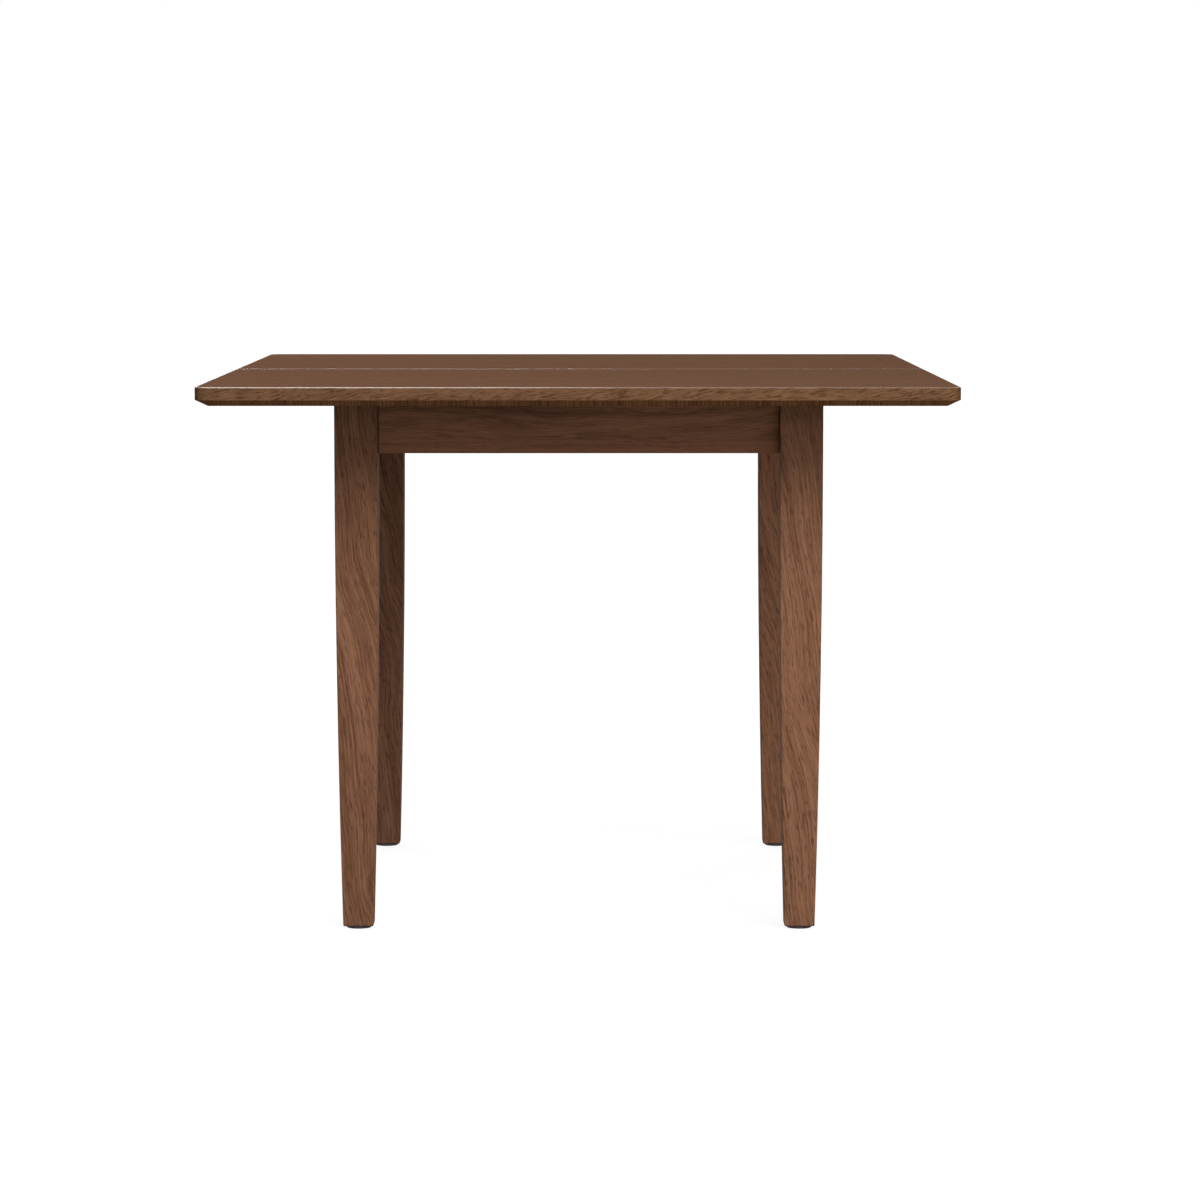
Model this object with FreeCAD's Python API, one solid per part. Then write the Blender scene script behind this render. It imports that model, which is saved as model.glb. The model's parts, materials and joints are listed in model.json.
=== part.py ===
import FreeCAD, Part
import math
import os

# An extending dining table, closed, in millimetres.
# The origin is on the floor at the table's centre. X runs across the table, Y along it with
# the front at -Y, and Z is up. The two halves of the top slide apart along Y.

# Table top
table_height = 755.0
top_width = 1000.0
top_length = 1350.0
top_thickness = 25.0
top_corner_radius = 20.0
top_arris_radius = 2.0
bevel_height = 8.0
bevel_depth_share = 0.85
seam_gap = 0.4

# Leaf that fills the opening, folded in two about a spine
leaf_length = 450.0
leaf_end_play = 3.0
leaf_side_gap = 3.0
leaf_fold_gap = 1.0
leaf_arris_radius = 1.0

# Legs and aprons
leg_section = 58.5
leg_taper = 8.5
leg_arris_radius = 1.5
leg_foot_chamfer = 1.2
apron_height = 74.0
apron_thickness = 22.0
apron_arris_radius = 1.5
end_apron_inset = 11.5
side_apron_setback = 11.5
tenon_length = 25.0
tenon_bolt_gap = 6.0
tenon_thickness = 10.0
tenon_top_shoulder = 6.0
glue_gap = 0.1
frame_top_gap = 2.0
pad_edge = 1.0

# Glides under the legs
glide_radius = 17.5
glide_height = 4.0
glide_edge_chamfer = 1.0
glide_screw_recess = 0.6

# Slides
rail_wall = 2.5
rail_lip = 3.0
rail_top_gap = 1.0
rail_end_gap = 4.0
runner_hold = 130.0
runner_wall = 4.0
runner_head_height = 9.0
runner_head_inset = 4.0
runner_side_gap = 0.3
runner_end_gap = 0.5
runner_height_gap = 0.5
stop_thickness = 2.5
stop_flange = 1.5
access_hole_radius = 5.5

# Rack and pinion in each slide
gear_module = 1.5
pinion_teeth = 16
pressure_angle = math.radians(20.0)
gear_face = 8.0
gear_backlash = 0.16
rack_back = 2.4
rack_groove_depth = 3.0
addendum_share = 0.9
dedendum_share = 1.2
rack_spare_teeth = 3
axle_radius = 3.0
axle_fit = 0.06
axle_collar_radius = 5.0
axle_collar_height = 3.0
axle_head_radius = 5.5
axle_head_height = 2.0
axle_side_play = 0.3
axle_top_gap = 2.35
axle_tail_radius = 2.0
axle_tail_length = 18.0

# Bearers and cleats
bearer_width = 70.0
bearer_thickness = 18.0
bearer_lap = 45.0
cleat_end_gap = 10.0

# Corner blocks and their bolts
block_thickness = 24.0
block_rise = 4.0
block_top_gap = 3.0
block_gap = 1.5
bolt_radius = 4.0
bolt_in_leg = 34.0
bolt_past_nut = 5.0
nut_across_flats = 13.0
nut_height = 7.0
nut_flange_radius = 8.5
nut_flange_height = 1.5

# Alignment pins in the seam and in the leaf
align_radius = 4.0
align_fit = 0.15
align_reach = 10.0
align_depth = 18.0
align_end_gap = 2.0
align_place_shares = (-0.40, -0.15, 0.15, 0.40)

# Swivel catches under the seam
catch_place_share = 0.40
catch_pivot_setback = 30.0
catch_stud_setback = 12.0
catch_plate_length = 38.0
catch_plate_width = 44.0
catch_plate_thickness = 3.0
catch_pivot_radius = 4.0
catch_pivot_fit = 0.08
catch_cap_radius = 7.0
catch_cap_height = 1.8
catch_float = 0.4
catch_lever_thickness = 3.0
catch_stud_radius = 3.0
catch_slot_clearance = 0.5
catch_hook_wall = 6.0
catch_hook_angle = math.radians(34.0)
catch_arm_width = 14.0
catch_handle_length = 44.0
catch_handle_width = 18.0
keeper_length = 22.0
keeper_width = 44.0

# Leaf hinges and pivots
pivot_radius = 2.5
pivot_fit = 0.1
pivot_reach = 6.0
pivot_plate_thickness = 2.0
pivot_plate_width = 30.0
pivot_plate_height = 20.0
pivot_ear_width = 14.0
pivot_top_gap = 0.5
bracket_thickness = 3.0
bracket_width = 30.0
bracket_gap = 1.5
bracket_foot = 22.0
hinge_count = 3
hinge_place_share = 1 / 3
hinge_plate_width = 30.0
hinge_plate_length = 24.0
hinge_plate_thickness = 2.0
hinge_link_width = 10.0
hinge_link_depth = 6.0
hinge_link_inset = 1.0
hinge_link_gap = 0.5
hinge_link_reach = 6.0

# Screws: head radius, head height, shank radius, length
runner_screw = (4.8, 3.0, 2.4, 24.0)
rail_screw = (4.0, 2.4, 2.0, 24.0)
long_screw = (4.5, 2.8, 2.2, 62.0)
short_screw = (4.0, 2.5, 2.0, 34.0)
glide_screw = (3.5, 2.0, 1.8, 24.0)
plate_screw = (3.4, 2.2, 1.7, 15.0)
screw_slack = 0.1
bracket_screw_inset = 8.0
runner_screw_count = 3
runner_screw_margin = 20.0
rail_screw_margin = 100.0
rail_screw_count = 4

# A cut runs past a face by the first of these, and edges are found to within the second
overrun = 1.0
find_within = 0.01

# Heights
top_underside = table_height - top_thickness
frame_top = top_underside - frame_top_gap
apron_bottom = frame_top - apron_height
bevel_depth = bevel_depth_share * top_corner_radius
runner_head_bottom = top_underside - runner_head_height
gear_top = runner_head_bottom - axle_top_gap - axle_head_height - axle_side_play / 2
gear_bottom = gear_top - gear_face
rail_top = top_underside - rail_top_gap
rail_floor = gear_bottom - axle_collar_height
rail_bottom = rail_floor - rail_wall
pivot_z = top_underside - pivot_top_gap - pivot_radius
leaf_upper_bottom = 2 * pivot_z - table_height
leaf_upper_top = leaf_upper_bottom + top_thickness
leaf_lower_top = leaf_upper_bottom - leaf_fold_gap
leaf_lower_bottom = leaf_lower_top - top_thickness
bearer_bottom = leaf_lower_bottom - bearer_thickness
align_z = table_height - top_thickness / 2
block_bottom = apron_bottom + block_rise
block_height = rail_bottom - block_top_gap - block_bottom
bolt_z = block_bottom + block_height / 3
tenon_top = frame_top - tenon_top_shoulder
tenon_bottom = bolt_z + bolt_radius + tenon_bolt_gap

# Rack and pinion: they set the width of the slides
pitch_radius = gear_module * pinion_teeth / 2
tooth_pitch = math.pi * gear_module
addendum = addendum_share * gear_module
dedendum = dedendum_share * gear_module
rack_back_x = pitch_radius + dedendum + rack_back
channel_half_width = rack_back_x + runner_wall + runner_side_gap
rail_width = 2 * (channel_half_width + rail_wall)

# Places across the table: the folded leaf lies between the slides, the slides between the aprons
leaf_half_width = top_width / 4
rail_inner_x = leaf_half_width + leaf_side_gap
slide_x = rail_inner_x + rail_width / 2
side_apron_inner = rail_inner_x + rail_width
side_apron_outer = side_apron_inner + apron_thickness
frame_half_width = side_apron_outer + side_apron_setback
leg_x = frame_half_width - leg_section / 2
leg_inner_x = frame_half_width - leg_section
pivot_x = -leaf_half_width / 2

# Places along the table: the runners set the rails, and the rails set the legs
slide_travel = leaf_length / 2 + leaf_end_play
runner_inner_end = runner_hold + slide_travel
rail_half_length = runner_inner_end + runner_end_gap + stop_thickness
frame_half_length = rail_half_length + rail_end_gap + leg_section
leg_y = frame_half_length - leg_section / 2
leg_inner_y = frame_half_length - leg_section
end_apron_inner = leg_inner_y + end_apron_inset
end_apron_outer = end_apron_inner + apron_thickness
pad_radius = apron_thickness / 2 - pad_edge
leaf_end = leaf_length / 2
bearer_inner_y = leaf_end - bearer_lap
bearer_outer_y = bearer_inner_y + bearer_width
block_reach = (side_apron_inner - leg_inner_x + end_apron_inner - leg_inner_y
               + (block_gap + block_thickness) * math.sqrt(2))
cleat_half_length = end_apron_inner - block_reach - cleat_end_gap

# Runner section, measured from the pinion's axis
runner_outer_x = channel_half_width - runner_side_gap
runner_inner_x = rack_back_x - rack_groove_depth
runner_neck_x = channel_half_width - rail_lip - runner_side_gap
runner_bottom = rail_floor + runner_height_gap
runner_shoulder = rail_top - rail_wall - runner_height_gap
runner_screw_x = (runner_head_inset + runner_neck_x) / 2

# Catches
catch_reach = catch_pivot_setback + catch_stud_setback
catch_plate_bottom = top_underside - catch_plate_thickness
catch_lever_top = catch_plate_bottom - catch_float
catch_lever_bottom = catch_lever_top - catch_lever_thickness
catch_places = (-catch_place_share * top_width, catch_place_share * top_width)

up = FreeCAD.Vector(0, 0, 1)
down = FreeCAD.Vector(0, 0, -1)
corners = {"front_left": (-1, -1), "front_right": (1, -1), "rear_left": (-1, 1), "rear_right": (1, 1)}
sides = {"left": -1, "right": 1}


def at(x, y, z):
    return FreeCAD.Vector(x, y, z)


def box(x, y, z):
    """A box between the pairs of limits x, y and z, each in either order."""
    low = at(min(x), min(y), min(z))
    return Part.makeBox(max(x) - low.x, max(y) - low.y, max(z) - low.z, low)


def prism(edges, direction):
    """A solid pushed out of a closed outline of edges."""
    return Part.Face(Part.Wire(Part.__sortEdges__(edges))).extrude(direction)


def polygon(points):
    """The edges of a closed outline with straight sides."""
    following = points[1:] + points[:1]
    return [Part.LineSegment(a, b).toShape() for a, b in zip(points, following)]


def turned(shape):
    """The shape after half a turn about the upright axis through the origin."""
    copy = shape.copy()
    copy.rotate(at(0, 0, 0), up, 180)
    return copy


def moved(shape, x=0, y=0, z=0):
    copy = shape.copy()
    copy.translate(at(x, y, z))
    return copy


def group(shapes):
    return Part.makeCompound(shapes)


def countersunk(size, start, direction, slack=0):
    """A screw from its flat head at start; slack makes its hole."""
    head_radius, head_height, shank_radius, length = size
    head = Part.makeCone(head_radius + slack, shank_radius + slack, head_height, start, direction)
    shank = Part.makeCylinder(shank_radius + slack, length + slack, start, direction)
    return head.fuse(shank)


def pan_head(size, start, direction, slack=0):
    """A screw whose head stands on the surface at start; slack makes its hole."""
    head_radius, head_height, shank_radius, length = size
    head_start = start - direction * head_height
    head = Part.makeCylinder(head_radius + slack, head_height, head_start, direction)
    shank = Part.makeCylinder(shank_radius + slack, length + slack, start, direction)
    return head.fuse(shank)


def save(name, shape):
    shape.exportStep("parts/" + name + ".step")


def half_outline(inset, z):
    """The front half's outline, drawn in from its three free sides by inset."""
    half_width = top_width / 2 - inset
    front = -top_length / 2 + inset
    back = -seam_gap / 2
    radius = top_corner_radius - inset
    bend = radius * (1 - math.sqrt(0.5))
    right = [at(half_width, back, z), at(half_width, front + radius, z),
             at(half_width - bend, front + bend, z), at(half_width - radius, front, z)]
    left = [at(-p.x, p.y, p.z) for p in right]
    edges = [Part.LineSegment(left[0], right[0]).toShape(),
             Part.LineSegment(right[0], right[1]).toShape(),
             Part.Arc(right[1], right[2], right[3]).toShape(),
             Part.LineSegment(right[3], left[3]).toShape(),
             Part.Arc(left[3], left[2], left[1]).toShape(),
             Part.LineSegment(left[1], left[0]).toShape()]
    return Part.Wire(edges)


def top_half_blank():
    """The front half: a board with a bevelled underside and eased upper edges."""
    bevel_top = top_underside + bevel_height
    board = Part.Face(half_outline(0, bevel_top)).extrude(up * (top_thickness - bevel_height))
    bevel = Part.makeLoft([half_outline(bevel_depth, top_underside), half_outline(0, bevel_top)], True, True)
    half = board.fuse(bevel).removeSplitter()
    upper = [e for e in half.Edges if e.BoundBox.ZMin > table_height - find_within]
    return half.makeFillet(top_arris_radius, upper)


def align_holes(y, radius, depth, direction):
    """Borings for the alignment pins in an end face of the top at y."""
    return [Part.makeCylinder(radius, depth, at(share * top_width, y, align_z), direction)
            for share in align_place_shares]


def runner_screw_places():
    """Where the screws of a front runner stand, measured from the pinion's axis."""
    span = runner_hold - 2 * runner_screw_margin
    step = span / (runner_screw_count - 1)
    return [(runner_screw_x, -runner_screw_margin - step * k) for k in range(runner_screw_count)]


def runner_screws(slack=0):
    """The screws of the front runners, one runner on each side."""
    return [countersunk(runner_screw, at(side * slide_x + x, y, runner_head_bottom), up, slack)
            for side in sides.values() for x, y in runner_screw_places()]


def plate_screws(y, half_spread, slack=0):
    """Screws through the catch plates, two to a plate."""
    return [countersunk(plate_screw, at(x + way * half_spread, y, catch_plate_bottom), up, slack)
            for x in catch_places for way in (-1, 1)]


def catch_base_screws(slack=0):
    return plate_screws(-catch_pivot_setback, catch_plate_width / 2 - 2 * plate_screw[0], slack)


def keeper_screws(slack=0):
    return plate_screws(catch_stud_setback, keeper_width / 2 - 2 * plate_screw[0], slack)


def make_top():
    """Both halves, with the alignment pins in the rear one and their sockets in the front one."""
    blank = top_half_blank()
    face = seam_gap / 2
    forward, back = at(0, -1, 0), at(0, 1, 0)
    front = blank.cut(align_holes(-face, align_radius + align_fit, align_reach + align_end_gap, forward)
                      + runner_screws(screw_slack) + catch_base_screws(screw_slack))
    rear = turned(blank).cut(align_holes(face, align_radius, align_depth, back)
                             + [turned(s) for s in runner_screws(screw_slack)]
                             + keeper_screws(screw_slack))
    save("top_front", front)
    save("top_rear", rear)
    reach_y = face + align_depth
    save("alignment_pins", group(align_holes(reach_y, align_radius, align_depth + align_reach, forward)))


def leg_outline():
    """One side view of a leg about its own axis: straight at the top, then a curve to the foot."""
    half = leg_section / 2
    middle = at(half - leg_taper / 4, 0, (glide_height + apron_bottom) / 2)
    foot = at(half - leg_taper, 0, glide_height)
    shoulder, head = at(half, 0, apron_bottom), at(half, 0, frame_top)
    mirror = [at(-p.x, 0, p.z) for p in (foot, middle, shoulder, head)]
    return [Part.Arc(foot, middle, shoulder).toShape(),
            Part.LineSegment(shoulder, head).toShape(),
            Part.LineSegment(head, mirror[3]).toShape(),
            Part.LineSegment(mirror[3], mirror[2]).toShape(),
            Part.Arc(mirror[2], mirror[1], mirror[0]).toShape(),
            Part.LineSegment(mirror[0], foot).toShape()]


def leg_blank():
    """A square leg that tapers on all four faces, with rounded edges."""
    slab = moved(prism(leg_outline(), at(0, leg_section, 0)), y=-leg_section / 2)
    crossed = slab.copy()
    crossed.rotate(at(0, 0, 0), up, 90)
    leg = slab.common(crossed).removeSplitter()
    upright = [e for e in leg.Edges if e.BoundBox.ZLength > leg_section]
    leg = leg.makeFillet(leg_arris_radius, upright)
    foot = [e for e in leg.Edges if e.BoundBox.ZMax < glide_height + find_within]
    return leg.makeChamfer(leg_foot_chamfer, foot)


def tenons(slack=0):
    """The tenons of the front-left corner: one of the end apron, one of the side apron."""
    z = (tenon_bottom - slack, tenon_top + slack)
    half = tenon_thickness / 2 + slack
    reach = tenon_length + slack
    end_y = (end_apron_inner + end_apron_outer) / 2
    side_x = (side_apron_inner + side_apron_outer) / 2
    end = box((-leg_inner_x, -leg_inner_x - reach), (-end_y - half, -end_y + half), z)
    side = box((-side_x - half, -side_x + half), (-leg_inner_y, -leg_inner_y - reach), z)
    return end, side


def mirrored(shape, x_side, y_side):
    """A shape of the front-left corner, carried to another corner."""
    copy = shape
    if x_side > 0:
        copy = copy.mirror(at(0, 0, 0), at(1, 0, 0))
    if y_side > 0:
        copy = copy.mirror(at(0, 0, 0), at(0, 1, 0))
    return copy


def make_legs():
    """Four legs, each with two mortises, a bolt hole and a glide."""
    blank = leg_blank()
    front_left = moved(blank, -leg_x, -leg_y).cut(list(tenons(glue_gap)) + [bolt_shank(screw_slack)]
                                                  + [glide_screw_at(screw_slack)])
    disc = Part.makeCylinder(glide_radius, glide_height, at(-leg_x, -leg_y, 0), up)
    rim = [e for e in disc.Edges if e.BoundBox.ZMax < find_within]
    disc = disc.makeChamfer(glide_edge_chamfer, rim).cut(glide_screw_at(screw_slack))
    for name, (x_side, y_side) in corners.items():
        save("leg_" + name, mirrored(front_left, x_side, y_side))
        save("glide_" + name, mirrored(disc, x_side, y_side))
    save("glide_screws", group([mirrored(glide_screw_at(), *c) for c in corners.values()]))


def glide_screw_at(slack=0):
    """The screw of the front-left glide, with its head sunk below the glide's face."""
    start = at(-leg_x, -leg_y, glide_screw_recess)
    screw = countersunk(glide_screw, start, up, slack)
    if slack:
        recess = Part.makeCylinder(glide_screw[0] + slack, glide_screw_recess, at(-leg_x, -leg_y, 0), up)
        screw = screw.fuse(recess)
    return screw


def eased_apron(x, y):
    """An apron board with its two lower edges eased."""
    board = box(x, y, (apron_bottom, frame_top))
    along = max(board.BoundBox.XLength, board.BoundBox.YLength)
    lower = [e for e in board.Edges
             if e.BoundBox.ZMax < apron_bottom + find_within and e.Length > along - find_within]
    return board.makeFillet(apron_arris_radius, lower)


def make_aprons():
    """Two end aprons and two side aprons with their tenons."""
    end_tenon, side_tenon = tenons()
    end = eased_apron((-leg_inner_x, leg_inner_x), (-end_apron_outer, -end_apron_inner))
    end = end.fuse([end_tenon, mirrored(end_tenon, 1, -1)])
    end = end.cut([mirrored(s, x, -1) for s in block_screws(screw_slack)[:1] for x in (-1, 1)])
    side = eased_apron((-side_apron_outer, -side_apron_inner), (-leg_inner_y, leg_inner_y))
    side = side.fuse([side_tenon, mirrored(side_tenon, -1, 1)])
    side = side.cut([mirrored(s, -1, y) for s in block_screws(screw_slack)[1:] for y in (-1, 1)]
                    + cleat_screws(-1, screw_slack))
    save("apron_front", end)
    save("apron_rear", mirrored(end, -1, 1))
    save("apron_left", side)
    save("apron_right", mirrored(side, 1, -1))


def make_pads():
    """Pads on the frame's top, on which the halves glide."""
    places = [(side_x * leg_x, side_y * leg_y) for side_x, side_y in corners.values()]
    end_y = (end_apron_inner + end_apron_outer) / 2
    side_x = (side_apron_inner + side_apron_outer) / 2
    places += [(x * leg_inner_x / 2, y * end_y) for x, y in corners.values()]
    places += [(x * side_x, y * leg_inner_y / 2) for x, y in corners.values()]
    save("frame_pads", group([Part.makeCylinder(pad_radius, frame_top_gap, at(x, y, frame_top), up)
                              for x, y in places]))


def diagonal(distance, z):
    """A point on the front-left bolt's line, measured inwards from the leg's inner corner."""
    step = distance / math.sqrt(2)
    return at(-leg_inner_x + step, -leg_inner_y + step, z)


def outward():
    return at(-math.sqrt(0.5), -math.sqrt(0.5), 0)


def bolt_shank(slack=0):
    """The front-left hanger bolt, from its nut end to its end in the leg."""
    start = block_gap + block_thickness + nut_height + bolt_past_nut
    return Part.makeCylinder(bolt_radius + slack, start + bolt_in_leg + slack, diagonal(start, bolt_z), outward())


def flange_nut():
    """A hexagon nut with a flange, against the front-left corner block."""
    inner = block_gap + block_thickness
    tip_radius = nut_across_flats / math.sqrt(3)
    points = [at(tip_radius * math.cos(k * math.pi / 3), tip_radius * math.sin(k * math.pi / 3), 0)
              for k in range(6)]
    nut = prism(polygon(points), up * nut_height)
    nut = nut.fuse(Part.makeCylinder(nut_flange_radius, nut_flange_height, at(0, 0, 0), up))
    nut.Placement = FreeCAD.Placement(diagonal(inner, bolt_z), FreeCAD.Rotation(up, outward() * -1))
    return nut.cut(bolt_shank(screw_slack))


def block_screws(slack=0):
    """Two screws of the front-left corner block, one into each apron."""
    middle = block_reach - block_thickness * math.sqrt(2) / 2
    depth = short_screw[3] - apron_thickness / 2
    end_start = at(-side_apron_inner + middle, -end_apron_inner + depth, bolt_z)
    side_start = at(-side_apron_inner + depth, -end_apron_inner + middle, bolt_z)
    return [countersunk(short_screw, end_start, at(0, -1, 0), slack),
            countersunk(short_screw, side_start, at(-1, 0, 0), slack)]


def make_corner_blocks():
    """Diagonal blocks behind the legs, each pulled up by a hanger bolt and a nut."""
    corner_x, corner_y = -side_apron_inner, -end_apron_inner
    outer = block_reach - block_thickness * math.sqrt(2)
    z = block_bottom
    outline = [at(corner_x + block_reach, corner_y, z), at(corner_x + outer, corner_y, z),
               at(corner_x, corner_y + outer, z), at(corner_x, corner_y + block_reach, z)]
    block = prism(polygon(outline), up * block_height)
    block = block.cut([bolt_shank(screw_slack)] + block_screws(screw_slack))
    nut, bolt = flange_nut(), bolt_shank()
    for name, corner in corners.items():
        save("corner_block_" + name, mirrored(block, *corner))
    save("hanger_bolts", group([mirrored(bolt, *c) for c in corners.values()]))
    save("flange_nuts", group([mirrored(nut, *c) for c in corners.values()]))


def bearer_screws(y_side, slack=0):
    """Screws up through a bearer into the cleats."""
    y = y_side * (bearer_inner_y + bearer_outer_y) / 2
    return [countersunk(short_screw, at(side * slide_x, y + way * bearer_width / 4, bearer_bottom), up, slack)
            for side in sides.values() for way in (-1, 1)]


def bracket_screws(y_side, slack=0):
    """The screw that holds a pivot bracket's foot to its bearer."""
    y = y_side * (leaf_end + bracket_gap + bracket_foot / 2 + bracket_thickness / 2)
    start = leaf_lower_bottom + bracket_thickness
    return [countersunk(plate_screw, at(pivot_x + way * bracket_screw_inset, y, start), down, slack)
            for way in (-1, 1)]


def cleat_screws(x_side, slack=0):
    """Screws through a cleat into its side apron."""
    z = (leaf_lower_bottom + rail_bottom) / 2
    start = x_side * (side_apron_inner + apron_thickness * 3 / 4 - long_screw[3])
    return [countersunk(long_screw, at(start, way * cleat_half_length * 3 / 4, z), at(x_side, 0, 0), slack)
            for way in (-1, 1)]


def access_holes(x_side, z_low, z_high):
    """Openings under the runner screws, for a screwdriver, with the table closed."""
    holes = []
    for x, y in runner_screw_places():
        for way in (-1, 1):
            start = at(x_side * slide_x + way * -x, way * -y, z_low)
            holes.append(Part.makeCylinder(access_hole_radius, z_high - z_low, start, up))
    return holes


def make_bearers():
    """Two bearers across the frame for the folded leaf, and two cleats for the slides."""
    for name, y_side in (("front", -1), ("rear", 1)):
        bearer = box((-side_apron_inner, side_apron_inner), (y_side * bearer_inner_y, y_side * bearer_outer_y),
                     (bearer_bottom, leaf_lower_bottom))
        save("bearer_" + name, bearer.cut(bearer_screws(y_side, screw_slack)
                                          + bracket_screws(y_side, screw_slack)))
    for name, x_side in sides.items():
        cleat = box((x_side * rail_inner_x, x_side * side_apron_inner), (-cleat_half_length, cleat_half_length),
                    (leaf_lower_bottom, rail_bottom))
        cuts = access_holes(x_side, leaf_lower_bottom - overrun, rail_bottom + overrun)
        cuts += rail_screws(x_side, screw_slack) + [axle(x_side, screw_slack)]
        cuts += cleat_screws(x_side, screw_slack)
        cuts += bearer_screws(-1, screw_slack) + bearer_screws(1, screw_slack)
        save("cleat_" + name, cleat.cut(cuts))
    save("long_screws", group(cleat_screws(-1) + cleat_screws(1)))
    blocks = [mirrored(s, *c) for c in corners.values() for s in block_screws()]
    save("short_screws", group(bearer_screws(-1) + bearer_screws(1) + blocks))


def rail_screws(x_side, slack=0):
    """Screws from the rail's floor down into the cleat, between the racks."""
    reach = cleat_half_length - rail_screw_margin / 4
    places = [way * y for way in (-1, 1) for y in (rail_screw_margin, reach)][:rail_screw_count]
    return [pan_head(rail_screw, at(x_side * slide_x, y, rail_floor), down, slack) for y in places]


def rail_outline():
    """The rail's section: a channel with a lip over each side."""
    outer = rail_width / 2
    lip = channel_half_width - rail_lip
    lip_bottom = rail_top - rail_wall
    right = [(outer, rail_bottom), (outer, rail_top), (lip, rail_top), (lip, lip_bottom),
             (channel_half_width, lip_bottom), (channel_half_width, rail_floor)]
    left = [(-x, z) for x, z in reversed(right)]
    return polygon([at(x, 0, z) for x, z in right + left])


def end_stop():
    """A cap in a rail's end: a plug that fills the channel, and a flange outside."""
    plug_half = channel_half_width - glue_gap
    plug = box((-plug_half, plug_half), (rail_half_length - stop_thickness, rail_half_length),
               (rail_floor, rail_top - rail_wall - glue_gap))
    flange = box((-rail_width / 2, rail_width / 2), (rail_half_length, rail_half_length + stop_flange),
                 (rail_bottom, rail_top))
    return plug.fuse(flange)


def make_rails():
    """A rail on each side, its screws and its end stops."""
    rail = moved(prism(rail_outline(), at(0, 2 * rail_half_length, 0)), y=-rail_half_length)
    stop = end_stop()
    stops = [moved(s, side * slide_x) for side in sides.values() for s in (stop, turned(stop))]
    screws = []
    for name, side in sides.items():
        cuts = rail_screws(side, screw_slack) + [axle(side, screw_slack)]
        cuts += access_holes(side, rail_bottom - overrun, rail_floor + overrun)
        save("slide_rail_" + name, moved(rail, side * slide_x).cut(cuts))
        screws += rail_screws(side)
    save("rail_screws", group(screws))
    save("rail_end_stops", group(stops))


def runner_outline():
    """A runner's section on the +X side of the pinion: a web in the rail, a head under the top."""
    points = [(runner_outer_x, runner_bottom), (runner_outer_x, runner_shoulder),
              (runner_neck_x, runner_shoulder), (runner_neck_x, top_underside),
              (runner_head_inset, top_underside), (runner_head_inset, runner_head_bottom),
              (runner_inner_x, runner_head_bottom), (runner_inner_x, gear_top),
              (rack_back_x, gear_top), (rack_back_x, gear_bottom),
              (runner_inner_x, gear_bottom), (runner_inner_x, runner_bottom)]
    return polygon([at(x, 0, z) for x, z in points])


def make_runners():
    """Two runners to a half. A rear runner is a front one after half a turn about the pinion."""
    length = runner_hold + runner_inner_end
    runner = moved(prism(runner_outline(), at(0, length, 0)), y=-runner_hold)
    runner = runner.cut([countersunk(runner_screw, at(x, y, runner_head_bottom), up, screw_slack)
                         for x, y in runner_screw_places()])
    rack = rack_blank()
    odd_shift = pinion_teeth % 2 * tooth_pitch / 2
    for name, side in sides.items():
        save("runner_front_" + name, moved(runner, side * slide_x))
        save("runner_rear_" + name, moved(turned(runner), side * slide_x))
        save("rack_front_" + name, moved(rack, side * slide_x))
        save("rack_rear_" + name, moved(turned(rack), side * slide_x, odd_shift))
    save("runner_screws_front", group(runner_screws()))
    save("runner_screws_rear", group([turned(s) for s in runner_screws()]))


def rack_blank():
    """A straight rack beside the pinion, long enough for the whole travel."""
    first = -rack_spare_teeth
    last = int(slide_travel / tooth_pitch) + rack_spare_teeth
    slope = math.tan(pressure_angle)
    tip_x, root_x = pitch_radius - addendum, pitch_radius + dedendum
    half = tooth_pitch / 4 - gear_backlash / 2
    half_tip, half_root = half - addendum * slope, half + dedendum * slope
    points = [at(rack_back_x, first * tooth_pitch, gear_bottom), at(root_x, first * tooth_pitch, gear_bottom)]
    for k in range(first, last + 1):
        middle = (k + 1 / 2) * tooth_pitch
        points += [at(root_x, middle - half_root, gear_bottom), at(tip_x, middle - half_tip, gear_bottom),
                   at(tip_x, middle + half_tip, gear_bottom), at(root_x, middle + half_root, gear_bottom)]
    points += [at(root_x, (last + 1) * tooth_pitch, gear_bottom),
               at(rack_back_x, (last + 1) * tooth_pitch, gear_bottom)]
    return prism(polygon(points), up * gear_face)


def involute_point(radius, half_tooth_angle, flank):
    """A point of a tooth's flank at a radius; the tooth's middle is at angle zero."""
    base_radius = pitch_radius * math.cos(pressure_angle)
    roll = math.sqrt(max((radius / base_radius) ** 2 - 1, 0))
    pitch_spread = math.tan(pressure_angle) - pressure_angle
    angle = half_tooth_angle + pitch_spread - (roll - math.atan(roll))
    return radius, flank * angle


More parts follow.
